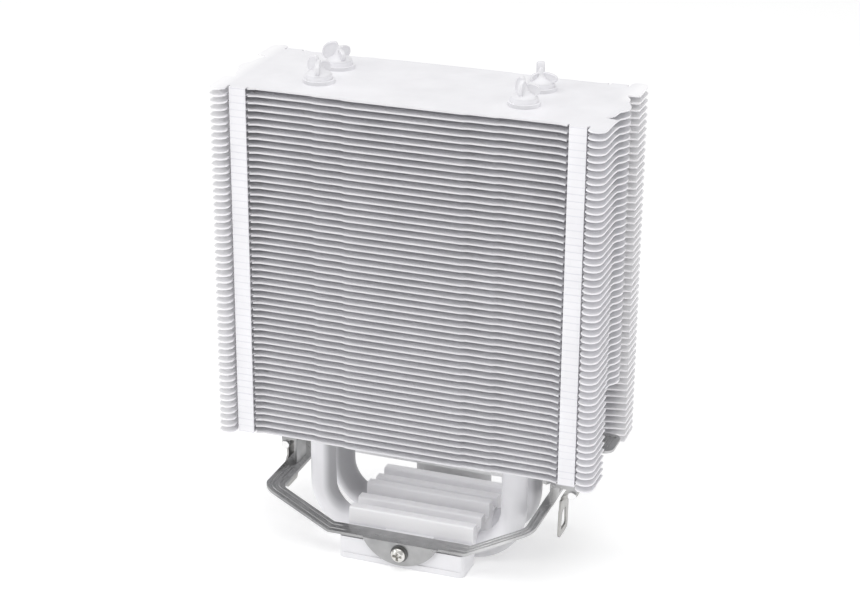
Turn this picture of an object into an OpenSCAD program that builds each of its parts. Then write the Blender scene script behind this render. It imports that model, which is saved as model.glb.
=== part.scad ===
// Tower heatsink for a processor: a stack of thin fins pressed onto two bent heat pipes,
// a ridged base block, and a sprung ring clip with two hanging hooks.
// Origin at the middle of the base's contact face, +Z up, the air side facing -Y.

/* [Fin stack] */
// Number of fins in the stack, the top one included
fin_count = 52; // [44:1:56]
// Number of bottom fins whose middle lobe is cut away for the clip's finger tab
notched_count = 12; // [10:1:14]
// Distance from one fin to the next
fin_pitch = 2.1657; // [2.1:0.01:2.3]
// Thickness of a fin
fin_t = 0.45; // [0.4:0.05:0.6]
// Underside of the lowest fin above the contact face
stack_z = 37; // [36:0.5:40]
// Distance from the middle to the side lobes
fin_half_w = 60; // [59:0.5:62]

/* [Heat pipes] */
// Distance of each pipe leg from the middle, across the stack
pipe_x = 31.5; // [31:0.25:32]
// Distance of each pipe from the middle, through the stack
pipe_y = 8; // [7.5:0.25:8.5]
// Outer radius of a pipe
pipe_r = 4; // [3.9:0.05:4.05]
// Wall of a pipe
pipe_wall = 0.5; // [0.4:0.05:0.6]
// Thickness of the sintered lining inside a pipe
wick_t = 0.6; // [0.4:0.1:0.8]
// Radius of a bend, at the middle of the pipe
bend_r = 14; // [13.5:0.25:14.5]
// Width of a pipe where it is pressed flat in the base
flat_w = 10; // [9.5:0.25:10.5]
// Height of a pipe where it is pressed flat in the base
flat_h = 6; // [5.5:0.25:6.5]
// Pipe that stands above the top fin, below the seal
stub_h = 2.2; // [1.5:0.1:3]

/* [Base] */
// Half the length of the base block, along X
base_hx = 20.5; // [20:0.25:21]
// Half the depth of the base block, along Y
base_hy = 23; // [22.75:0.05:23]
// Height of the ledges that the clip crosses
ledge_z = 7.7; // [7.6:0.05:7.75]
// Floor of the grooves between the ridges
groove_z = 9.4; // [9:0.1:9.8]
// Top of the ridges
ridge_z = 12.9; // [12:0.1:13.5]
// Extra height of the middle ridge
mid_ridge_rise = 1.5; // [0.5:0.1:2]
// Front face of the first ridge
ridge_y0 = -14.5; // [-15:0.1:-14.3]
// Distance from one ridge to the next
ridge_pitch = 7.65; // [7.5:0.05:7.9]
// How much lower each ridge is than the one before it
ridge_drop = 0.22; // [0:0.02:0.25]

/* [Clip] */
// Thickness of the clip's spring sheet
clip_t = 0.9; // [0.8:0.05:1]
// Underside of the clip's crossbars
bar_z = 7.95; // [7.8:0.05:8.1]
// Half the length of a crossbar between its two folds
bar_hx = 22.4; // [22:0.1:23]
// Outer edge of the crossbars and arms
clip_hy = 23.5; // [23.4:0.05:23.6]
// Width of the arms that rise from the crossbars
arm_w = 5.7; // [5.2:0.1:6]
// Slope of the arms and side rails
arm_deg = 28.4; // [28:0.1:29]
// Length of an arm along its slope, to the rail's outer edge
arm_len = 24.5; // [24.2:0.1:24.8]
// Width of a side rail
rail_w = 4.9; // [4.5:0.1:5]
// How far the arms and rails sit to the left of the screws
clip_skew = 1.6; // [1.3:0.1:1.7]
// Height of the screws that the clip rocks on
screw_z = 5.4; // [5.2:0.1:5.5]
// Radius of the screws' shanks
screw_r = 1.25; // [1.2:0.05:1.25]

/* [Hooks] */
// Distance of the left hook's pin from the middle
left_pin_x = 46.2; // [46.1:0.1:46.6]
// Height of the left hook's pin
left_pin_z = 25.4; // [25:0.1:25.6]
// Distance of the right hook's pin from the middle
right_pin_x = 48.6; // [48:0.1:49]
// Height of the right hook's pin
right_pin_z = 24.3; // [24:0.1:24.5]
// Radius of a hook's pin
pin_r = 0.7; // [0.6:0.05:0.75]
// Thickness of a hook's plate
hook_t = 0.7; // [0.6:0.05:0.75]
// Lean of the resting right hook towards the base
right_lean = 1; // [0:0.5:2]
// How far the right hook's plate is stepped towards the base
right_step = 3.6; // [3:0.1:4]
// Lean of the resting left hook towards the base
left_lean = 0.5; // [0:0.5:1]
// Length of a hook below its pin
hook_len = 15.4; // [15:0.2:16]
// Half the width of a hook at its foot
hook_hw = 4.6; // [4.4:0.1:5]

/* [Finger tab] */
// Underside of the finger tab
tab_z = 41.4; // [40:0.1:44]
// Outer end of the finger tab
tab_x = 61; // [58:0.5:62]
// Half the width of the finger tab
tab_hy = 6.2; // [5:0.1:6.5]

/* [Hidden] */

$fn = 48;
seat = 0.03;             // clearance of a pressed or running round fit
eps = 0.01;
top_z = stack_z + (fin_count - 1) * fin_pitch + fin_t;
stub_z = top_z + stub_h;
bend_z = pipe_r + bend_r;
bend_x = pipe_x - bend_r;
middle_start = notched_count;
upper_start = notched_count + floor((fin_count - notched_count) / 2);
bar_top = bar_z + clip_t;
strip_in = 49;           // inner edge of the folded tabs that form the white strips
strip_out = 54.1;        // outer edge of the same
strip_y = 22;            // face of the strips
tie_gap = 0.7;           // width of the relief cut on each side of a strip
tie_depth = 1.7;         // depth of the relief cut
lip_z = 1.9;             // height of the lip round the contact face
lip_out = 0.3;           // how far the lip stands out
rim_y = base_hy + lip_out + 0.1; // inner face of the clip's hanging tabs
tab_y = rim_y + clip_t;  // outer face of the same
corner_r = 2;            // rounding of the base block's upright edges

function arc(cx, cy, r, a0, a1, n = 8) =
    [for (i = [0:n]) [cx + r * cos(a0 + (a1 - a0) * i / n), cy + r * sin(a0 + (a1 - a0) * i / n)]];
function flip_x(p) = [for (i = [len(p) - 1:-1:0]) [-p[i][0], p[i][1]]];
function flip_y(p) = [for (i = [len(p) - 1:-1:0]) [p[i][0], -p[i][1]]];

// ---- fins ----

// Front edge of a fin from the middle out to the strip, with two shallow steps in it
function front_edge() = [[0, -21.9], [18, -21.9], [19.5, -21.4], [27.5, -21.4], [29, -20.9],
    [46, -20.9], [strip_in - tie_gap, -21.7], [strip_in - tie_gap, tie_depth - strip_y],
    [strip_in, tie_depth - strip_y], [strip_in, -strip_y], [strip_out, -strip_y],
    [strip_out, tie_depth - strip_y], [strip_out + tie_gap, tie_depth - strip_y],
    [strip_out + tie_gap, -23.3]];
// Front side lobe with its rounded corner, down to the tip of the V-shaped slit behind it
function front_lobe() = concat(arc(fin_half_w - 2.7, -22.1, 2.8, 235, 360, 5),
    [[fin_half_w + 0.2, -12.2], [fin_half_w - 3.5, -11.5]]);
// Middle side lobe, or the pocket that takes its place in the lowest fins
function middle_lobe() = concat([[fin_half_w - 1.6, -8.2]],
    arc(fin_half_w - 5.3, -0.01, 6, -46, 0, 3));
function pocket() = concat(arc(49, -7.5, 2, 250, 180, 2), [[47, -eps]]);
function half_outline(notched) = concat(front_edge(), front_lobe(), notched ? pocket() : middle_lobe());
function side_outline(notched) = concat(half_outline(notched), flip_y(half_outline(notched)));
function fin_outline(notched) = concat(side_outline(notched), flip_x(side_outline(notched)));

module pipe_places(y_list = [-pipe_y, pipe_y])
    for (x = [-pipe_x, pipe_x], y = y_list) translate([x, y, 0]) children();

module fin_plate(notched = false)
    linear_extrude(fin_t) difference() {
        polygon(fin_outline(notched));
        pipe_places() circle(pipe_r + seat);
    }

// A fin with its four folded tabs, each reaching up to the fin above
module fin(notched = false) {
    fin_plate(notched);
    for (sx = [-1, 1], sy = [-1, 1])
        translate([sx * (strip_in + strip_out) / 2, sy * (strip_y - fin_t / 2), (fin_pitch - eps) / 2])
            cube([strip_out - strip_in, fin_t, fin_pitch - eps], center = true);
}

module fin_rows(first, last, notched = false)
    for (i = [first:last]) translate([0, 0, stack_z + i * fin_pitch]) fin(notched);

module top_fin() color("white") translate([0, 0, top_z - fin_t]) {
    fin_plate();
    pipe_places() difference() {
        cylinder(h = fin_t + 1.1, r = pipe_r + 0.75);
        translate([0, 0, -1]) cylinder(h = fin_t + 3, r = pipe_r + seat);
    }
}

module fins_upper() color("whitesmoke") fin_rows(upper_start, fin_count - 2);
module fins_middle() color("white") fin_rows(middle_start, upper_start - 1);
module fins_lower() color("whitesmoke") fin_rows(0, middle_start - 1, true);

// ---- heat pipes ----

// The whole U of one pipe: two legs, two bends and the pressed run in the base.
// inset is how far the surface lies inside the pipe's outer skin
module pipe_solid(inset, leg_top) {
    r = pipe_r - inset;
    for (s = [-1, 1]) {
        translate([s * pipe_x, 0, bend_z]) cylinder(h = leg_top - bend_z, r = r);
        translate([s * bend_x, 0, bend_z]) mirror([s < 0 ? 1 : 0, 0, 0])
            rotate([90, 0, 0]) rotate([0, 0, -90]) rotate_extrude(angle = 90)
                translate([bend_r, 0]) circle(r);
    }
    translate([-bend_x, 0, 0]) rotate([90, 0, 90]) linear_extrude(2 * bend_x)
        translate([0, flat_h / 2]) {
            square([flat_w - flat_h, flat_h - 2 * inset], center = true);
            for (s = [-1, 1]) translate([s * (flat_w - flat_h) / 2, 0]) circle(flat_h / 2 - inset);
        }
}

module heat_pipe(y) translate([0, y, 0]) difference() {
    pipe_solid(0, stub_z);
    pipe_solid(pipe_wall, stub_z + 1);
}
module wick(y) translate([0, y, 0]) difference() {
    pipe_solid(pipe_wall + seat, stub_z - 1);
    pipe_solid(pipe_wall + seat + wick_t, stub_z);
}

module heat_pipe_front() color("white") heat_pipe(-pipe_y);
module heat_pipe_rear() color("white") heat_pipe(pipe_y);
module wick_front() color("peru") wick(-pipe_y);
module wick_rear() color("peru") wick(pipe_y);

// ---- crimped seals on the pipe ends ----

seal_neck_r = 2.3;
wing_len = 5.6;
wing_t = 1.7;
wing_h = 5.4;
shoulder_h = 1.0;

module wing() rotate([90, 0, 0]) translate([0, 0, -wing_t / 2]) linear_extrude(wing_t) union() {
    square([wing_len - 2.4, wing_h]);
    translate([wing_len - 2.4, wing_h - 2.4]) circle(2.4);
    translate([0, wing_h - 4.2]) square([wing_len, 1.8]);
}
module seal(turn) rotate([0, 0, turn]) {
    cylinder(h = shoulder_h, r = pipe_r);
    translate([0, 0, shoulder_h - eps]) {
        cylinder(h = wing_h, r = seal_neck_r);
        for (a = [0, 120, 240]) rotate([0, 0, a]) wing();
    }
}
module pipe_seals(y, turn_left, turn_right) color("white") translate([0, y, stub_z]) {
    translate([-pipe_x, 0, 0]) seal(turn_left);
    translate([pipe_x, 0, 0]) seal(turn_right);
}
module pipe_seals_front() pipe_seals(-pipe_y, 200, 20);
module pipe_seals_rear() pipe_seals(pipe_y, 35, 100);

// ---- base ----

ridge_foot = 4.2;
ridge_crown = 3.6;
ridge_n = 5;
ridges_end = ridge_y0 + (ridge_n - 1) * ridge_pitch + ridge_foot;
hole_depth = 9;
boss_hx = 8;
relief_z = ledge_z - 0.4;

// One ridge, tapered and with softened top corners, from its back foot to its front foot
function ridge_points(y, top) = [[y + ridge_foot, groove_z], [y + ridge_crown + 0.3, top - 0.4],
    [y + ridge_crown - 0.1, top], [y + 0.7, top], [y + 0.3, top - 0.4], [y, groove_z]];
function all_ridges() = [for (i = [ridge_n - 1:-1:0])
    each ridge_points(ridge_y0 + i * ridge_pitch,
        ridge_z - i * ridge_drop + (i == 2 ? mid_ridge_rise : 0))];
// Side view of the block: lip, ledges and ridges in one outline
module base_profile() {
    lip_y = base_hy + lip_out;
    polygon(concat([[-lip_y, 0], [lip_y, 0], [lip_y, lip_z], [base_hy, lip_z], [base_hy, ledge_z],
        [ridges_end, ledge_z]], all_ridges(), [[ridge_y0, ledge_z], [-base_hy, ledge_z],
        [-base_hy, lip_z], [-lip_y, lip_z]]));
}

// Outline of the block seen from above, with rounded corners
function base_side() = let (half = arc(base_hx - corner_r, corner_r - base_hy - lip_out, corner_r, -90, 0, 6))
    concat(half, flip_y(half));

module base_block() color("whitesmoke") difference() {
    intersection() {
        rotate([90, 0, 90]) translate([0, 0, -base_hx]) linear_extrude(2 * base_hx) base_profile();
        linear_extrude(stack_z) polygon(concat(base_side(), flip_x(base_side())));
    }
    for (y = [-pipe_y, pipe_y]) translate([0, y, 0]) {
        pipe_solid(-seat, stack_z);
        translate([-base_hx - 1, -flat_w / 2 - seat, -1])
            cube([2 * base_hx + 2, flat_w + 2 * seat, flat_h / 2 + 1]);
    }
    for (s = [-1, 1]) {
        translate([0, s * (base_hy + 1), screw_z]) rotate([s * 90, 0, 0])
            cylinder(h = hole_depth + 1, r = screw_r + seat);
        for (x = [-base_hx - 1, boss_hx], y = [-base_hy - 1, ridges_end])
            translate([x, y, relief_z])
                cube([base_hx - boss_hx + 1, y < 0 ? ridge_y0 + base_hy + 1 : 9, 9]);
    }
}

// ---- clip ----

lug_hy = 3.8;
shelf_rise = 1.65;       // underside of a lug's shelf above its pin
ear_t = 0.9;
ear_r = 1.35;
rear_tab_hx = 12.7;
rear_tab_x = 0.9;
rear_top = 14.1;
half_round_r = 13.5;
half_round_z = 14.7;
half_round_hx = 12.1;
rear_bar_y = 21.3;
front_bar_y = 17.7;
slope_c = cos(arm_deg);
slope_s = sin(arm_deg);
rail_out = bar_hx + arm_len * slope_c;
rail_in = rail_out - rail_w * slope_c;

// Height of the rails' upper face at a distance from the middle of the ring
function rail_z(x) = bar_top + (x - bar_hx) * slope_s / slope_c;

// Section of the ring's sheet: flat in the middle at height top, turned up past the folds
module fold_profile(top) {
    run = arm_len + 8;
    fold_x = bar_hx + (top - bar_top) * slope_c / slope_s;
    half = [[0, top], [0, top - clip_t], [fold_x + clip_t * tan(arm_deg / 2), top - clip_t],
        [bar_hx + run * slope_c + clip_t * slope_s, bar_top + run * slope_s - clip_t * slope_c],
        [bar_hx + run * slope_c, bar_top + run * slope_s], [fold_x, top]];
    polygon(half);
    mirror([1, 0]) polygon(half);
}

// Outer and inner outlines of the ring, seen from above
function ring_outer() = let (half = concat(arc(rail_out - 3.2, 3.2 - clip_hy, 3.2, -90, 0, 6),
        [[rail_out, -6]]))
    concat(half, flip_y(half));
function ring_inner() = concat([[bar_hx - 3, -front_bar_y], [bar_hx - 1, arm_w - clip_hy]],
    arc(rail_in - 1.5, arm_w - clip_hy + 1.5, 1.5, -90, 0, 4),
    arc(rail_in - 1.5, clip_hy - arm_w - 1.5, 1.5, 0, 90, 4),
    [[rail_in - 4, clip_hy - arm_w], [rail_in - 7, rear_bar_y]]);
module ring() translate([-clip_skew, 0, 0]) intersection() {
    linear_extrude(stack_z) difference() {
        polygon(concat(ring_outer(), flip_x(ring_outer())));
        polygon(concat(ring_inner(), flip_x(ring_inner())));
    }
    union() {
        rotate([90, 0, 0]) linear_extrude(clip_hy + 1) fold_profile(bar_top);
        translate([0, clip_hy + 1, 0]) rotate([90, 0, 0])
            linear_extrude(clip_hy + 1) fold_profile(rear_top);
    }
}

// Lug that carries a hook's pin: a web rises from the rail to a flat shelf,
// and two ears are folded down from the shelf on both sides of the hook
module lug(web_x, foot_z, px, pz, end_x) difference() {
    shelf_z = pz + shelf_rise;
    union() {
        translate([web_x, -lug_hy, foot_z]) cube([clip_t, 2 * lug_hy, shelf_z + clip_t - foot_z]);
        translate([web_x, -lug_hy, shelf_z]) cube([end_x - web_x, 2 * lug_hy, clip_t]);
        for (y = [ear_t - lug_hy, lug_hy]) translate([px, y, pz]) rotate([90, 0, 0])
            linear_extrude(ear_t) polygon(concat(arc(0, 0, ear_r, 180, 360, 8),
                [[ear_r, shelf_rise + eps], [-ear_r, shelf_rise + eps]]));
    }
    translate([px, 0, pz]) rotate([90, 0, 0]) cylinder(h = 3 * lug_hy, r = pin_r + seat, center = true);
}
module lug_right() lug(rail_out - clip_skew - clip_t, rail_z(rail_out - clip_t) - 0.7,
    right_pin_x, right_pin_z, right_pin_x + 2.8);
module lug_left() mirror([1, 0, 0]) lug(rail_out + clip_skew - 3, rail_z(rail_out - 3) - 0.7,
    left_pin_x, left_pin_z, left_pin_x + ear_r + 0.1);

// Hanging half-round tab that a screw passes through
module half_round() translate([0, tab_y, 0]) rotate([90, 0, 0]) linear_extrude(clip_t) intersection() {
    translate([0, half_round_z]) circle(half_round_r);
    translate([-half_round_r, 0]) square([2 * half_round_r, bar_top]);
}

module clip_frame() color("dimgray") difference() {
    union() {
        ring();
        lug_right();
        lug_left();
        half_round();
        mirror([0, 1, 0]) half_round();
        translate([-half_round_hx, -rim_y - 0.4, bar_z]) cube([2 * half_round_hx, 1, clip_t]);
        translate([rear_tab_x - rear_tab_hx, rim_y, bar_z]) cube([2 * rear_tab_hx, clip_t, rear_top - bar_z]);
        translate([rear_tab_x - rear_tab_hx, rim_y - 0.6, rear_top - clip_t])
            cube([2 * rear_tab_hx, 1, clip_t]);
    }
    translate([0, 0, screw_z]) rotate([90, 0, 0])
        cylinder(h = 3 * clip_hy, r = screw_r + 0.05, center = true);
    for (y = [-rivet_y, rivet_y]) translate([rivet_x, y, 0]) cylinder(h = 60, r = rivet_r + seat);
}

// ---- finger tab, riveted to the right-hand lug ----

riser_x = 49.4;
rivet_r = 0.7;
rivet_x = 45;
rivet_y = 2.2;
foot_x = 43.2;
foot_z = right_pin_z + shelf_rise + clip_t;

module finger_tab() color("gray") difference() {
    union() {
        translate([foot_x, -lug_hy, foot_z]) cube([riser_x - foot_x + clip_t, 2 * lug_hy, clip_t]);
        translate([riser_x, -lug_hy, foot_z]) cube([clip_t, 2 * lug_hy, tab_z + clip_t - foot_z]);
        translate([0, 0, tab_z]) linear_extrude(clip_t)
            polygon(let (half = concat(arc(riser_x + 1.5, -tab_hy + 1.5, 1.5, 180, 270, 3),
                    arc(tab_x - 3, -tab_hy + 3, 3, -90, 0, 6)))
                concat(half, flip_y(half)));
    }
    for (i = [0:3]) translate([tab_x - 2.2 - 1.7 * i, -tab_hy + 1.6, tab_z + clip_t - 0.35])
        cube([0.8, 2 * tab_hy - 3.2, 1]);
    for (y = [-rivet_y, rivet_y]) translate([rivet_x, y, 0]) cylinder(h = 60, r = rivet_r + seat);
}

module tab_rivets() color("silver") for (y = [-rivet_y, rivet_y]) translate([rivet_x, y, 0]) {
    translate([0, 0, foot_z - clip_t]) cylinder(h = 2 * clip_t, r = rivet_r);
    translate([0, 0, foot_z + clip_t]) cylinder(h = 0.5, r = 1.25);
}

// ---- hooks ----

eye_r = pin_r + seat + hook_t;
eye_hy = lug_hy - ear_t - 0.25;

// A hook's plate below the height top_z, where it is 2 * top_hw wide
module hook_plate(top_z, top_hw) difference() {
    polygon(let (half = [[0, top_z], [top_hw, top_z], [top_hw, -4.3], [hook_hw, -6.5],
            [hook_hw, -hook_len + 1.4], [hook_hw - 0.5, -hook_len + 0.4], [hook_hw - 1.3, -hook_len],
            [0, -hook_len]])
        concat(half, flip_x(half)));
    polygon(let (half = [[0, -6.9], [1.4, -6.9], [2.1, -7.6], [2.7, -hook_len + 3],
            [2.2, -hook_len + 2.2], [0, -hook_len + 2.2]])
        concat(half, flip_x(half)));
}

// A hook: an eye on the pin, a step sideways to plate_x, and the plate
module hook(px, pz, lean, plate_x, plate_z, top_hw) translate([px, 0, pz]) difference() {
    rotate([0, lean, 0]) union() {
        rotate([90, 0, 0]) cylinder(h = 2 * eye_hy, r = eye_r, center = true);
        rotate([90, 0, 0]) linear_extrude(2 * eye_hy, center = true) polygon([[0, -eye_r + 0.1],
            [0, eye_r - 0.2], [plate_x, plate_z + 0.5], [plate_x, plate_z - 0.4],
            [plate_x + hook_t, plate_z - 0.4]]);
        translate([plate_x, 0, 0]) rotate([90, 0, 90]) linear_extrude(hook_t) hook_plate(plate_z, top_hw);
    }
    rotate([90, 0, 0]) cylinder(h = 3 * lug_hy, r = pin_r + seat, center = true);
}
module hook_right() color("silver")
    hook(right_pin_x, right_pin_z, right_lean, -right_step - hook_t / 2, -2.6, 3.9);
module hook_left() color("silver") mirror([1, 0, 0])
    hook(left_pin_x, left_pin_z, left_lean, -hook_t / 2, 0, eye_hy);

module hook_pin() rotate([90, 0, 0]) {
    cylinder(h = 2 * lug_hy, r = pin_r, center = true);
    for (s = [-1, 1]) translate([0, 0, s * (lug_hy + 0.4)]) cylinder(h = 0.8, r = 1.35, center = true);
}
module hook_pin_right() color("white") translate([right_pin_x, 0, right_pin_z]) hook_pin();
module hook_pin_left() color("white") translate([-left_pin_x, 0, left_pin_z]) hook_pin();

// ---- screws that the clip rocks on ----

washer_t = 0.3;
washer_y = tab_y + 0.06;
head_y = washer_y + washer_t;
head_r = 2.3;
head_h = 1.8;
screw_end_y = hole_depth - base_hy - 0.5;

module screw() translate([0, 0, screw_z]) difference() {
    rotate([90, 0, 0]) {
        cylinder(h = head_y, r = screw_r);
        translate([0, 0, head_y]) cylinder(h = head_h - 0.7, r = head_r);
        translate([0, 0, head_y + head_h - 0.7]) cylinder(h = 0.7, r1 = head_r, r2 = head_r - 0.8);
    }
    translate([-4, screw_end_y, -4]) cube([8, base_hy, 8]);
    for (a = [0, 90]) rotate([0, a, 0])
        translate([-0.4, -head_y - head_h - 1, -1.5]) cube([0.8, 2.2, 3]);
}
module screw_washer() translate([0, -washer_y, screw_z]) rotate([90, 0, 0]) difference() {
    cylinder(h = washer_t, r = 2.8);
    translate([0, 0, -1]) cylinder(h = washer_t + 2, r = screw_r + seat);
}
module clip_screw_front() color("silver") screw();
module clip_screw_rear() color("silver") mirror([0, 1, 0]) screw();
module screw_washer_front() color("gray") screw_washer();
module screw_washer_rear() color("gray") mirror([0, 1, 0]) screw_washer();

base_block();
heat_pipe_front();
heat_pipe_rear();
wick_front();
wick_rear();
pipe_seals_front();
pipe_seals_rear();
top_fin();
fins_upper();
fins_middle();
fins_lower();
clip_screw_front();
clip_screw_rear();
screw_washer_front();
screw_washer_rear();
clip_frame();
finger_tab();
tab_rivets();
hook_left();
hook_right();
hook_pin_left();
hook_pin_right();
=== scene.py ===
"""Looks of the tower cooler: paint, metals, crimped pipe ends, clip ribs, light and camera.

The materials of the pipes, the block, the fins and the clip start with the same finish all over.
pipe_tones, block_tones, fin_tones and clip_tones then paint light and shade into the base colour
by place and facing on the object. This painted light and shade was fitted for this scene's camera
and lights and stands for no known difference in the real paint or plating, so for other light or
other views it can be left out.
"""
import math

import bmesh
import bpy
from mathutils import Matrix, Vector


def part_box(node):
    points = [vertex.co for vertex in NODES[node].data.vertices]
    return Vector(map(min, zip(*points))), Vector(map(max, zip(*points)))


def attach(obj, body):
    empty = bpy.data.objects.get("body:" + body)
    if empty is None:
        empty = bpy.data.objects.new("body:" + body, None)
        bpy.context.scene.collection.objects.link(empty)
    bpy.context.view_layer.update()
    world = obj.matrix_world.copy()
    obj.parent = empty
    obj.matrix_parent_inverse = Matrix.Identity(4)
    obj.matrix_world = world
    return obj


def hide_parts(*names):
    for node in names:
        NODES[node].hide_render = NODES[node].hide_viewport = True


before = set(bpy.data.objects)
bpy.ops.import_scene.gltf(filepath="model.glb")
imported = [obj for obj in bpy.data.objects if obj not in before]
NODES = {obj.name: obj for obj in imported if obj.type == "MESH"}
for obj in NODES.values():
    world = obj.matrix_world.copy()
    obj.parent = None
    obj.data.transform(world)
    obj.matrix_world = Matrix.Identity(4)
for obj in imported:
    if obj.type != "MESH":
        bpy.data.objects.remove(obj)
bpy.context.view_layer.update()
MM = 0.001

# Sizes that the looks depend on, in millimetres. Where two numbers stand together, a tone fades in
# or out between them.
FINS_UNDER_TOP = 51
FIN_Z0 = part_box("fins_lower")[0][2] / MM
FIN_PITCH = (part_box("top_fin")[0][2] / MM - FIN_Z0) / FINS_UNDER_TOP
STRIP_FACE = 21.9          # just behind the strips' front and rear faces
STRIP_X = 51.55            # middle of a strip
STRIP_HALF = 2.5
STRIP_IN = 48.5            # just inside a strip's inner edge
LOBE_X = (54.5, 58.0)
REAR_LOBE_Y = (4.0, 9.0)

PIPE_R = 4.0
PIPE_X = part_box("heat_pipe_front")[1][0] / MM - PIPE_R
BEND_X = (14.0, 24.0)
LEG_FOOT_Z = (1.0, 9.0)
LEDGE_Z = 7.4              # just below the base's ledges
RIDGE_FOOT_Z = (LEDGE_Z, LEDGE_Z + 1.2)
FLANK_TOP_Z = (LEDGE_Z, LEDGE_Z + 0.8)
BARE_Z = 0.05              # the contact face lies below this

BAR_TOP = 8.85             # upper face of the clip's front crossbar
FOLD_X = 22.4              # fold between crossbar and arm
SLOPE = math.radians(28.4)
SKEW = 1.6                 # how far the arms and rails sit to the left
REAR_BAR_X = 34.0          # half the length of the raised rear crossbar
REAR_BAR_Y = 20.0          # just in front of it
REAR_ARM_X = 36.6          # where the rear arms leave it
LEFT_ARM_X, LEFT_RAIL_X = (-30.0, -20.0), (-43.0, -39.0)
RIGHT_ARM_X, RIGHT_RAIL_X = (18.0, 26.0), (33.0, 37.0)

# ---------------------------------------------------------------- materials


def new_material(name):
    mat = bpy.data.materials.new(name)
    mat.use_nodes = True
    tree = mat.node_tree
    return mat, tree, tree.nodes["Principled BSDF"]


def add(tree, kind, settings=None, inputs=None):
    """A node with its properties and its unlinked or linked inputs set."""
    n = tree.nodes.new(kind)
    for key, value in (settings or {}).items():
        setattr(n, key, value)
    for key, value in (inputs or {}).items():
        socket = n.inputs[key]
        if isinstance(value, bpy.types.NodeSocket):
            tree.links.new(value, socket)
        else:
            socket.default_value = value
    return n


def object_coords(tree, stretch=(1.0, 1.0, 1.0)):
    coords = add(tree, "ShaderNodeTexCoord")
    return add(tree, "ShaderNodeMapping",
               inputs={"Vector": coords.outputs["Object"], "Scale": stretch}).outputs["Vector"]


def noise(tree, vector, scale, detail=3.0, roughness=0.55):
    return add(tree, "ShaderNodeTexNoise", inputs={
        "Vector": vector, "Scale": scale, "Detail": detail, "Roughness": roughness}).outputs["Fac"]


def spread(tree, value, low, high, from_low=0.3, from_high=0.7):
    """The range from_low..from_high of a value mapped onto low..high, and held outside it."""
    return add(tree, "ShaderNodeMapRange", inputs={
        "Value": value, "From Min": from_low, "From Max": from_high,
        "To Min": low, "To Max": high}).outputs["Result"]


def fade(tree, coordinate, limits, low, high):
    """From low to high between two limits in millimetres, of which the lesser comes first."""
    return spread(tree, coordinate, low, high, limits[0] * MM, limits[1] * MM)


def calculate(tree, operation, a, b=0.0):
    return add(tree, "ShaderNodeMath", {"operation": operation}, {0: a, 1: b}).outputs[0]


def product(tree, first, *others):
    for other in others:
        first = calculate(tree, "MULTIPLY", first, other)
    return first


def inverse(tree, value):
    """One minus the value."""
    return calculate(tree, "SUBTRACT", 1.0, value)


def below(tree, value, limit):
    return calculate(tree, "LESS_THAN", value, limit)


def beyond(tree, value, limit):
    return calculate(tree, "GREATER_THAN", value, limit)


def unsigned(tree, value):
    return calculate(tree, "ABSOLUTE", value)


def blend_colours(tree, fac, a, b):
    """Colour a where fac is 0 and colour b where it is 1."""
    mix = add(tree, "ShaderNodeMix", {"data_type": "RGBA"})
    for socket, value in ((mix.inputs[0], fac), (mix.inputs[6], a), (mix.inputs[7], b)):
        if isinstance(value, bpy.types.NodeSocket):
            tree.links.new(value, socket)
        else:
            socket.default_value = value
    return mix.outputs[2]


def bump(tree, height, strength, distance, normal=None):
    inputs = {"Height": height, "Strength": strength, "Distance": distance}
    if normal is not None:
        inputs["Normal"] = normal
    return add(tree, "ShaderNodeBump", inputs=inputs).outputs["Normal"]


def grey(v, tint=1.0):
    """A grey of brightness v, with blue scaled by tint."""
    return (v, v, min(1.0, v * tint), 1.0)


def shade(colour, amount):
    """A colour made darker by amount, which is 1 for no change."""
    return tuple(c * amount for c in colour[:3]) + (1.0,)


PAINT_LIGHT = (0.87, 0.865, 0.89, 1.0)
PAINT_SHADE = (0.815, 0.81, 0.835, 1.0)
SEAM = (0.66, 0.66, 0.72, 1.0)
# the next six colours are painted shade and painted light, blended in by the tone functions below
SHADED = (0.3, 0.3, 0.31, 1.0)
RIDGE_PAINTED_LIGHT = (0.95, 0.945, 0.96, 1.0)
FLANK_PAINTED_SHADE = (0.6, 0.6, 0.61, 1.0)
CLIP_PAINTED_LIGHT = (0.93, 0.93, 0.93, 1.0)
ARM_PAINTED_SHADE = (0.12, 0.12, 0.12, 1.0)
LOBE_PAINTED_LIGHT = (0.97, 0.965, 0.975, 1.0)
COPPER = (0.78, 0.42, 0.28, 1.0)
MILLED = (0.72, 0.72, 0.73, 1.0)


def paint(name, grain, depth, rough=(0.38, 0.5), white=1.0):
    """White powder coat: faint orange peel, uneven gloss and a trace of uneven cover."""
    mat, tree, bsdf = new_material(name)
    vector = object_coords(tree)
    cover = spread(tree, noise(tree, vector, 90.0), 0.0, 1.0)
    tree.links.new(blend_colours(tree, cover, shade(PAINT_SHADE, white), shade(PAINT_LIGHT, white)),
                   bsdf.inputs["Base Color"])
    gloss = noise(tree, vector, 350.0, 4.0)
    tree.links.new(spread(tree, gloss, rough[0], rough[1]), bsdf.inputs["Roughness"])
    fine = bump(tree, noise(tree, vector, grain, 2.0), 0.35, depth)
    wave = bump(tree, noise(tree, vector, grain / 5, 1.0), 0.25, depth * 3, fine)
    tree.links.new(wave, bsdf.inputs["Normal"])
    bsdf.inputs["Specular IOR Level"].default_value = 0.45
    return mat


def tint_where(mat, mask, colour):
    """Blends a colour into a material's base colour where the mask is 1."""
    tree = mat.node_tree
    bsdf = tree.nodes["Principled BSDF"]
    before = bsdf.inputs["Base Color"].links[0].from_socket
    tree.links.new(blend_colours(tree, mask, before, colour), bsdf.inputs["Base Color"])
    return mat


def place_and_facing(tree):
    """Position on the object and the way its surface faces, each split into X, Y and Z."""
    coords = add(tree, "ShaderNodeTexCoord")
    return [add(tree, "ShaderNodeSeparateXYZ", inputs={"Vector": coords.outputs[key]}).outputs
            for key in ("Object", "Normal")]


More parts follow.
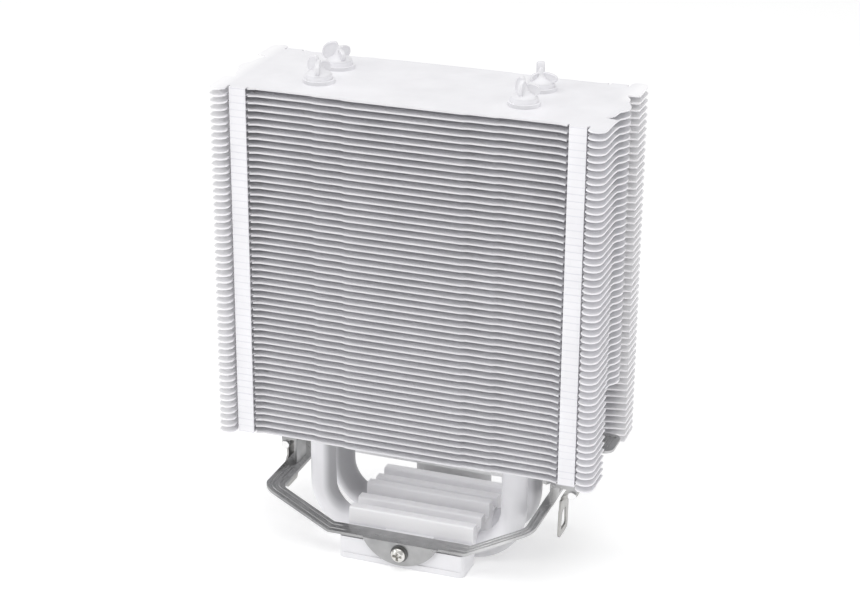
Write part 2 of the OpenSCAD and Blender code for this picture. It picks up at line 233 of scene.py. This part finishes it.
def pipe_tones(mat):
    """Regional painted shade. On the left, darker on the front leg's inner side and on all but the
    outer side of the rear leg; on the right, darker under the bends and on the rear leg's outer side."""
    tree = mat.node_tree
    place, facing = place_and_facing(tree)
    under_fins = below(tree, place["Z"], FIN_Z0 * MM)
    at_rear = beyond(tree, place["Y"], 0.0)

    # painted shade on the left legs under the fins, on the sides that face between the legs
    left = fade(tree, place["X"], (-BEND_X[1], -BEND_X[0]), 1.0, 0.0)
    off_base = fade(tree, place["Z"], LEG_FOOT_Z, 0.0, 1.0)
    front_inner = spread(tree, facing["X"], 0.0, 0.8, 0.3, 0.78)
    rear_inner = spread(tree, facing["X"], 0.0, 0.84, -0.55, 0.1)
    inner = calculate(tree, "ADD", product(tree, inverse(tree, at_rear), front_inner),
                      product(tree, at_rear, rear_inner))
    tint_where(mat, product(tree, left, off_base, under_fins, inner), SHADED)

    # painted shade under the right bends and on the rear right leg's outer side
    right = fade(tree, place["X"], BEND_X, 0.0, 1.0)
    underside = spread(tree, facing["Z"], 0.55, 0.0, -0.3, 0.15)
    outer = product(tree, at_rear, spread(tree, facing["X"], 0.0, 0.6, 0.2, 0.7))
    mask = product(tree, right, under_fins, calculate(tree, "MAXIMUM", underside, outer))
    return tint_where(mat, mask, SHADED)


def block_tones(mat):
    """Regional tone: painted light, whiter from the ledges up, and painted shade, darker on the
    ridges' right ends and, slightly, on the flanks below the ledges."""
    tree = mat.node_tree
    place, facing = place_and_facing(tree)
    # painted light on the block from the ledges up
    ridges = fade(tree, place["Z"], RIDGE_FOOT_Z, 0.0, 1.0)
    tint_where(mat, ridges, RIDGE_PAINTED_LIGHT)
    # painted shade on the ridges' right-facing ends
    right_ends = product(tree, ridges, spread(tree, facing["X"], 0.0, 0.3, 0.6, 0.9))
    tint_where(mat, right_ends, SHADED)
    # slight painted shade on the flanks below the ledges
    flanks = fade(tree, place["Z"], FLANK_TOP_Z, 0.2, 0.0)
    return tint_where(mat, flanks, FLANK_PAINTED_SHADE)


def fin_tones(mat):
    """Regional tone: painted light, whiter on the left and rear right lobes, and painted shade, darker
    on edges between the strips.
    """
    tree = mat.node_tree
    place, facing = place_and_facing(tree)
    # painted light on the left and rear right lobes
    left = fade(tree, place["X"], (-LOBE_X[1], -LOBE_X[0]), 0.8, 0.0)
    rear_right = product(tree, fade(tree, place["X"], LOBE_X, 0.0, 0.8),
                         fade(tree, place["Y"], REAR_LOBE_Y, 0.0, 1.0))
    tint_where(mat, calculate(tree, "MAXIMUM", left, rear_right), LOBE_PAINTED_LIGHT)
    # painted shade on the fins' front and rear edges between the strips
    between = below(tree, unsigned(tree, place["X"]), STRIP_IN * MM)
    edge = spread(tree, unsigned(tree, facing["Y"]), 0.0, 0.24, 0.3, 0.9)
    return tint_where(mat, product(tree, between, edge), SHADED)


def clip_tones(mat):
    """Regional tone: painted shade on the left arms and painted light on the right ones. The rear
    crossbar and its tab have painted light on top and on the inner side: they are pale and rough
    there, and the inner side isn't metallic."""
    tree = mat.node_tree
    bsdf = tree.nodes["Principled BSDF"]
    place, facing = place_and_facing(tree)
    # painted shade on the left arms, less on the left rail
    left = product(tree, fade(tree, place["X"], LEFT_ARM_X, 0.3, 0.0),
                   fade(tree, place["X"], LEFT_RAIL_X, 0.4, 1.0))
    tint_where(mat, left, ARM_PAINTED_SHADE)
    # painted light on the right arms, less on the right rail
    right = product(tree, fade(tree, place["X"], RIGHT_ARM_X, 0.0, 0.4),
                    fade(tree, place["X"], RIGHT_RAIL_X, 1.0, 0.35))
    tint_where(mat, right, CLIP_PAINTED_LIGHT)

    # painted light on the rear crossbar and its tab, on top and on the inner side, where the inner
    # side is also made not metallic
    rear_bar = product(tree, below(tree, unsigned(tree, place["X"]), REAR_BAR_X * MM),
                       beyond(tree, place["Y"], REAR_BAR_Y * MM))
    above = product(tree, rear_bar, beyond(tree, facing["Z"], 0.5))
    inside = product(tree, rear_bar, below(tree, facing["Y"], -0.5))
    pale = calculate(tree, "MAXIMUM", above, inside)
    tint_where(mat, pale, CLIP_PAINTED_LIGHT)
    before = bsdf.inputs["Roughness"].links[0].from_socket
    rough = calculate(tree, "MAXIMUM", before, product(tree, pale, 0.75))
    tree.links.new(rough, bsdf.inputs["Roughness"])
    tree.links.new(inverse(tree, inside), bsdf.inputs["Metallic"])
    return mat


def strip_seams(mat):
    """Faint joints where one fin's folded tab meets the next, on the strips only."""
    tree = mat.node_tree
    bsdf = tree.nodes["Principled BSDF"]
    place, _ = place_and_facing(tree)
    height = calculate(tree, "SUBTRACT", place["Z"], FIN_Z0 * MM)
    row = calculate(tree, "DIVIDE", height, FIN_PITCH * MM)
    joint = spread(tree, calculate(tree, "FRACT", row), 1.0, 0.0, 0.02, 0.16)
    on_face = beyond(tree, unsigned(tree, place["Y"]), STRIP_FACE * MM)
    off_middle = calculate(tree, "SUBTRACT", unsigned(tree, place["X"]), STRIP_X * MM)
    on_strip = below(tree, unsigned(tree, off_middle), STRIP_HALF * MM)
    uneven = spread(tree, noise(tree, object_coords(tree, (60.0, 60.0, 460.0)), 1.0, 1.0), 0.25, 1.0)
    mask = product(tree, on_face, on_strip, joint, uneven)
    tint_where(mat, mask, SEAM)
    under = bsdf.inputs["Normal"].links[0].from_socket
    tree.links.new(bump(tree, inverse(tree, mask), 0.5, 0.06 * MM, under), bsdf.inputs["Normal"])
    return mat


def metal(name, dark, light, rough, grain=(900.0, 900.0, 900.0), scratch=0.3, depth=0.02 * MM):
    """Metal with a blotchy tone and with gloss and bump that follow its grain. The grain is a noise
    scale for each axis, and is drawn out along an axis where that is low."""
    mat, tree, bsdf = new_material(name)
    drawn = noise(tree, object_coords(tree, grain), 1.0, 4.0, 0.6)
    blotch = noise(tree, object_coords(tree), 220.0, 3.0)
    tone = blend_colours(tree, spread(tree, blotch, 0.0, 1.0), dark, light)
    tree.links.new(tone, bsdf.inputs["Base Color"])
    tree.links.new(spread(tree, drawn, rough[0], rough[1]), bsdf.inputs["Roughness"])
    tree.links.new(bump(tree, drawn, scratch, depth), bsdf.inputs["Normal"])
    bsdf.inputs["Metallic"].default_value = 1.0
    return mat


def bare_face(mat, colour):
    """Leaves the machined contact face of a painted piece bare, with its milling lines."""
    tree = mat.node_tree
    painted = tree.nodes["Principled BSDF"]
    output = tree.nodes["Material Output"]
    place, _ = place_and_facing(tree)
    on_face = below(tree, place["Z"], BARE_Z * MM)
    bare = add(tree, "ShaderNodeBsdfPrincipled", inputs={"Metallic": 1.0})
    lines = add(tree, "ShaderNodeTexWave", {"wave_type": "RINGS", "rings_direction": "Z"},
                {"Vector": object_coords(tree), "Scale": 420.0, "Distortion": 0.4,
                 "Detail": 2.0, "Detail Scale": 3.0})
    tree.links.new(blend_colours(tree, lines.outputs["Fac"], shade(colour, 0.82), colour),
                   bare.inputs["Base Color"])
    tree.links.new(spread(tree, lines.outputs["Fac"], 0.22, 0.36, 0.0, 1.0), bare.inputs["Roughness"])
    tree.links.new(bump(tree, lines.outputs["Fac"], 0.3, 0.01 * MM), bare.inputs["Normal"])
    mixed = add(tree, "ShaderNodeMixShader", inputs={
        0: on_face, 1: painted.outputs[0], 2: bare.outputs[0]})
    tree.links.new(mixed.outputs[0], output.inputs["Surface"])
    return mat


block_paint = bare_face(block_tones(paint("block_powder_coat", 2600.0, 0.05 * MM)), MILLED)
pipe_paint = bare_face(pipe_tones(paint("pipe_powder_coat", 2400.0, 0.04 * MM, (0.3, 0.42))), COPPER)
seal_paint = paint("seal_powder_coat", 2000.0, 0.06 * MM, (0.32, 0.45), 0.93)
fin_paint = strip_seams(fin_tones(paint("fin_paint", 3200.0, 0.03 * MM, (0.36, 0.5))))
clip_metal = clip_tones(metal("clip_dark_nickel", grey(0.34, 1.01), grey(0.44), (0.24, 0.4),
                              (160.0, 2400.0, 160.0)))
tab_metal = metal("finger_tab_nickel", grey(0.44, 1.01), grey(0.54), (0.28, 0.42),
                  (2000.0, 160.0, 300.0))
hook_metal = metal("hook_satin_nickel", (0.38, 0.375, 0.365, 1), (0.48, 0.475, 0.46, 1), (0.25, 0.38),
                   (1500.0, 1500.0, 120.0))
pin_metal = metal("pin_bright_steel", grey(0.74), grey(0.86), (0.14, 0.24))
screw_metal = metal("screw_bright_steel", (0.62, 0.61, 0.58, 1), (0.78, 0.77, 0.75, 1), (0.15, 0.26))
washer_metal = metal("washer_dark_steel", grey(0.12), grey(0.2), (0.3, 0.45))
wick_metal = metal("sintered_copper", (0.45, 0.2, 0.11, 1), (0.68, 0.36, 0.22, 1), (0.55, 0.75),
                   (3000.0, 3000.0, 3000.0), 0.9, 0.1 * MM)

MATERIAL_OF = {
    "base_block": block_paint, "heat_pipe_front": pipe_paint, "heat_pipe_rear": pipe_paint,
    "wick_front": wick_metal, "wick_rear": wick_metal,
    "pipe_seals_front": seal_paint, "pipe_seals_rear": seal_paint,
    "top_fin": fin_paint, "fins_upper": fin_paint, "fins_middle": fin_paint, "fins_lower": fin_paint,
    "clip_screw_front": screw_metal, "clip_screw_rear": screw_metal,
    "screw_washer_front": washer_metal, "screw_washer_rear": washer_metal,
    "clip_frame": clip_metal, "finger_tab": tab_metal, "tab_rivets": pin_metal,
    "hook_left": hook_metal, "hook_right": hook_metal,
    "hook_pin_left": pin_metal, "hook_pin_right": pin_metal,
}
for node_name, mat in MATERIAL_OF.items():
    mesh = NODES[node_name].data
    mesh.materials.clear()
    mesh.materials.append(mat)

# ---------------------------------------------------------------- softened edges on the CAD nodes


FLAT_DEGREES = 0.3     # faces closer than this to one plane are merged before the bevel
SHARP_DEGREES = 28.0   # edges sharper than this are rounded


def soften(node_name, width, segments=2):
    """Rounds a node's sharp edges by width, in millimetres, without changing its mesh."""
    o = NODES[node_name]
    o.data.polygons.foreach_set("use_smooth", [True] * len(o.data.polygons))
    weld = o.modifiers.new("weld", "WELD")
    weld.merge_threshold = 0.001 * MM
    flat = o.modifiers.new("flat", "DECIMATE")
    flat.decimate_type = "DISSOLVE"
    flat.angle_limit = math.radians(FLAT_DEGREES)
    bevel = o.modifiers.new("bevel", "BEVEL")
    bevel.limit_method = "ANGLE"
    bevel.angle_limit = math.radians(SHARP_DEGREES)
    bevel.width = width * MM
    bevel.segments = segments
    bevel.use_clamp_overlap = True
    normals = o.modifiers.new("normals", "WEIGHTED_NORMAL")
    normals.keep_sharp = False
    normals.weight = 80


soften("base_block", 0.3, 3)
soften("clip_frame", 0.16)
soften("finger_tab", 0.15)
for side in ("left", "right"):
    soften(f"hook_{side}", 0.12)
    soften(f"hook_pin_{side}", 0.15)
for side in ("front", "rear"):
    soften(f"clip_screw_{side}", 0.12)
    soften(f"screw_washer_{side}", 0.06, 1)
soften("tab_rivets", 0.12)

# ---------------------------------------------------------------- building pieces


def new_piece(name, verts, faces, body, slot, mat):
    """A smooth-shaded piece from vertices in millimetres."""
    mesh = bpy.data.meshes.new(name)
    mesh.from_pydata([tuple(c * MM for c in v) for v in verts], [], faces)
    outward = bmesh.new()
    outward.from_mesh(mesh)
    bmesh.ops.recalc_face_normals(outward, faces=outward.faces)
    outward.to_mesh(mesh)
    outward.free()
    mesh.polygons.foreach_set("use_smooth", [True] * len(mesh.polygons))
    mesh.materials.append(mat)
    o = bpy.data.objects.new(name, mesh)
    bpy.context.scene.collection.objects.link(o)
    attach(o, body)
    return o


def joined(pieces):
    """Several closed shells as one list of vertices and one of faces."""
    verts, faces = [], []
    for v, f in pieces:
        start = len(verts)
        verts += v
        faces += [tuple(start + i for i in face) for face in f]
    return verts, faces


def looped(loops, first, last):
    """A closed shell from equal loops of points, with an end point before and after them."""
    count = len(loops[0])
    verts = [p for loop in loops for p in loop] + [first, last]
    hub = len(loops) * count
    faces = []
    for i in range(count):
        j = (i + 1) % count
        faces.append((j, i, hub))
        faces.append((hub - count + i, hub - count + j, hub + 1))
        for row in range(0, hub - count, count):
            faces.append((row + i, row + j, row + count + j, row + count + i))
    return verts, faces


# radius and height of the drawn-in neck, from the tube up to the stalk's tip
NECK = ((3.9, -0.3), (3.95, 0.1), (3.7, 0.6), (2.8, 1.1), (1.8, 1.6), (1.2, 2.4), (0.9, 3.4),
        (0.6, 4.4))
NECK_TIP = 4.6
NECK_SIDES = 24
# an ear's half thickness at shares of its outline: in mm on the web, and times the rim's on the rim
WEB = ((0.6, 0.42), (0.76, 0.5))
RIM = ((0.87, 1.0), (0.96, 0.8))
HUB_HALF = 0.4
EAR_POWER = 0.75     # below 1 squares the ear's rounded corner


def neck(x, y, z):
    """The tube drawn in to a narrow stalk above the top fin."""
    turns = [2 * math.pi * k / NECK_SIDES for k in range(NECK_SIDES)]
    loops = [[(x + r * math.cos(a), y + r * math.sin(a), z + h) for a in turns] for r, h in NECK]
    return looped(loops, (x, y, z + NECK[0][1]), (x, y, z + NECK_TIP))


def ear(x, y, z, turn, reach, height, rim):
    """One flattened ear of a crimped end: a thin web with a rounded, thicker rim."""
    low = min(2.0, 0.45 * height)
    edge = [(0.0, 0.2), (0.5 * reach, 0.1), (0.82 * reach, 0.3 * low), (0.97 * reach, 0.65 * low)]
    for degrees in range(0, 91, 15):
        a = math.radians(degrees)
        edge.append((reach * math.cos(a) ** EAR_POWER,
                     low + (height - low) * math.sin(a) ** EAR_POWER))
    core_r, core_h = 0.4 * reach, 0.45 * height
    out = (math.cos(math.radians(turn)), math.sin(math.radians(turn)))

    def place(r, h, off):
        return (x + r * out[0] - off * out[1], y + r * out[1] + off * out[0], z + h)

    near_side = [*WEB, *((share, half * rim) for share, half in RIM)]
    profile = [*near_side, (1.0, 0.0), *((share, -half) for share, half in reversed(near_side))]
    loops = [[place(core_r + (r - core_r) * share, core_h + (h - core_h) * share, half)
              for r, h in edge] for share, half in profile]
    return looped(loops, place(core_r, core_h, HUB_HALF), place(core_r, core_h, -HUB_HALF))


# for each leg, its side and its three ears: turn in degrees, reach, height and half the rim in mm
CRIMPS = {
    "pipe_seals_front": ((-1, ((165, 4.0, 5.9, 0.7), (48, 3.9, 4.3, 0.7), (285, 4.3, 4.4, 0.7))),
                         (1, ((150, 3.4, 6.2, 0.8), (262, 3.2, 5.6, 0.7), (15, 4.6, 4.4, 0.7)))),
    "pipe_seals_rear": ((-1, ((195, 5.3, 6.1, 0.7), (72, 4.8, 4.4, 0.7), (312, 4.0, 3.8, 0.7))),
                        (1, ((112, 4.2, 6.2, 1.25), (228, 3.6, 3.2, 0.7), (352, 5.4, 3.4, 0.7)))),
}
for node_name, ends in CRIMPS.items():
    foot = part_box(node_name)[0][2] / MM
    near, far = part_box(node_name.replace("pipe_seals", "heat_pipe"))
    leg_y = 0.5 * (near[1] + far[1]) / MM
    shells = []
    for side, ears in ends:
        shells.append(neck(side * PIPE_X, leg_y, foot))
        shells += [ear(side * PIPE_X, leg_y, foot, *sizes) for sizes in ears]
    piece = new_piece(node_name.replace("seals", "crimps"), *joined(shells), "heatsink", "white_coat",
                      seal_paint)
    smooth = piece.modifiers.new("smooth", "SUBSURF")
    smooth.levels = smooth.render_levels = 2
    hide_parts(node_name)

# ---------------------------------------------------------------- embossed ribs on the clip


def on_clip(x, y):
    """A point on the ring's upper face and the face's normal, from ring-local x and y."""
    past = max(0.0, abs(x) - FOLD_X)
    side = 1.0 if x > 0 else -1.0
    normal = Vector((-side * math.sin(SLOPE), 0.0, math.cos(SLOPE))) if past > 0 else Vector((0, 0, 1))
    return Vector((x - SKEW, y, BAR_TOP + past * math.tan(SLOPE))), normal


RIB_WIDTH, RIB_HEIGHT = 1.05, 0.3
RIB_SUNK = 0.04      # how far its edges lie inside the sheet
RIB_ARC = 8          # steps across its rounded section
# for the outer and the inner rib: start x, y along the arm, x along the rail, and radius of the turn
RIBS = ((16.5, -21.7, 42.5, 2.6), (18.5, -19.3, 40.9, 1.6))
RIB_END_Y = -5.6
BAR_STEPS, RUN_STEPS = 6, 12


def bead(points, width, height):
    """A closed, low rounded rib along ring-local points, tapered over two points at each end."""
    verts, faces = [], []
    arc = RIB_ARC
    places = [on_clip(x, y) for x, y in points]
    last = len(points) - 1
    for i, (p, normal) in enumerate(places):
        ahead = places[min(i + 1, last)][0] - places[max(i - 1, 0)][0]
        across = ahead.cross(normal).normalized()
        up_here = across.cross(ahead).normalized()
        grow = min(1.0, min(i, last - i) / 2.0) * 0.9 + 0.1
        for k in range(arc + 1):
            a = math.pi * k / arc
            lift = height * grow * math.sin(a) - RIB_SUNK
            verts.append(tuple(p + across * (math.cos(a) * width / 2 * grow) + up_here * lift))
    for i in range(last):
        for k in range(arc + 1):
            j = (k + 1) % (arc + 1)
            a, b = i * (arc + 1), (i + 1) * (arc + 1)
            faces.append((a + k, a + j, b + j, b + k))
    faces.append(tuple(range(arc + 1)))
    faces.append(tuple(last * (arc + 1) + k for k in range(arc, -1, -1)))
    return verts, faces


def rib_path(start_x, run_y, rail_x, turn_r):
    """From start_x up the front right arm, round the corner and along the rail."""
    path = []
    foot_x = max(start_x, FOLD_X)
    if start_x < FOLD_X:
        path += [(start_x + t * (FOLD_X - start_x) / BAR_STEPS, run_y) for t in range(BAR_STEPS)]
    turn_x, turn_y = rail_x - turn_r, run_y + turn_r
    path += [(foot_x + t * (turn_x - foot_x) / RUN_STEPS, run_y) for t in range(RUN_STEPS + 1)]
    for degrees in range(15, 91, 15):
        a = math.radians(degrees)
        path.append((turn_x + turn_r * math.sin(a), turn_y - turn_r * math.cos(a)))
    path += [(rail_x, turn_y + t * (RIB_END_Y - turn_y) / RUN_STEPS) for t in range(1, RUN_STEPS + 1)]
    return path


ribs = []
for side_x in (-1, 1):
    for side_y in (1, -1):
        for start_x, run_y, rail_x, turn_r in RIBS:
            if side_y < 0:
                start_x = max(start_x, REAR_ARM_X)
            path = rib_path(start_x, run_y, rail_x, turn_r)
            ribs.append(bead([(side_x * x, side_y * y) for x, y in path], RIB_WIDTH, RIB_HEIGHT))
new_piece("clip_ribs", *joined(ribs), "clip", "dark_steel", clip_metal)

# ---------------------------------------------------------------- light, floor, camera


LIGHT_TARGET = (0.0, 0.0, 0.08)
LIGHTS = (
    # name, place and size in metres, power in watts
    ("top_soft", (0.0, -0.15, 0.9), (1.0, 1.0), 4.3),
    ("front_left_soft", (-1.0, -0.85, 0.45), (0.9, 0.9), 4.2),
    ("right_soft", (1.25, -0.35, 0.4), (0.7, 0.9), 2.5),
)
SKY_STRENGTH = 0.56
FLOOR_HALF = 3.0
FLOOR_GLOW = 0.3     # keeps the floor near white
CAMERA_PLACE = (0.20765, -0.57766, 0.33298)
CAMERA_RIGHT = Vector((0.94042, 0.33993, 0.00692))
CAMERA_UP = Vector((-0.13608, 0.35765, 0.92389))
CAMERA_LENS = 91.55
WHITE = (1.0, 1.0, 1.0, 1.0)
scene = bpy.context.scene

for name, place, (wide, high), power in LIGHTS:
    light = bpy.data.lights.new(name, "AREA")
    light.shape = "RECTANGLE"
    light.size, light.size_y = wide, high
    light.energy = power
    lamp = bpy.data.objects.new(name, light)
    scene.collection.objects.link(lamp)
    lamp.location = place
    lamp.rotation_mode = "QUATERNION"
    lamp.rotation_quaternion = (Vector(LIGHT_TARGET) - Vector(place)).to_track_quat("-Z", "Y")

world = bpy.data.worlds.new("studio")
world.use_nodes = True
sky = world.node_tree.nodes["Background"].inputs
sky["Color"].default_value = WHITE
sky["Strength"].default_value = SKY_STRENGTH
scene.world = world
scene.view_settings.view_transform = "Standard"

floor_mesh = bpy.data.meshes.new("floor")
corners = [(x * FLOOR_HALF, y * FLOOR_HALF, 0) for x, y in ((-1, -1), (1, -1), (1, 1), (-1, 1))]
floor_mesh.from_pydata(corners, [], [(0, 1, 2, 3)])
floor = bpy.data.objects.new("floor", floor_mesh)
scene.collection.objects.link(floor)
floor.location.z = -0.05 * MM
floor_mat, _, floor_bsdf = new_material("floor_white")
floor_bsdf.inputs["Base Color"].default_value = grey(0.9)
floor_bsdf.inputs["Roughness"].default_value = 0.9
floor_bsdf.inputs["Emission Color"].default_value = WHITE
floor_bsdf.inputs["Emission Strength"].default_value = FLOOR_GLOW
floor_mesh.materials.append(floor_mat)

cam_data = bpy.data.cameras.new("camera")
cam_data.sensor_width = 36.0
cam_data.lens = CAMERA_LENS
cam_data.clip_start, cam_data.clip_end = 0.05, 20.0
camera = bpy.data.objects.new("camera", cam_data)
scene.collection.objects.link(camera)
turn = Matrix((CAMERA_RIGHT, CAMERA_UP, CAMERA_RIGHT.cross(CAMERA_UP))).transposed()
camera.matrix_world = Matrix.Translation(CAMERA_PLACE) @ turn.to_4x4()
scene.camera = camera
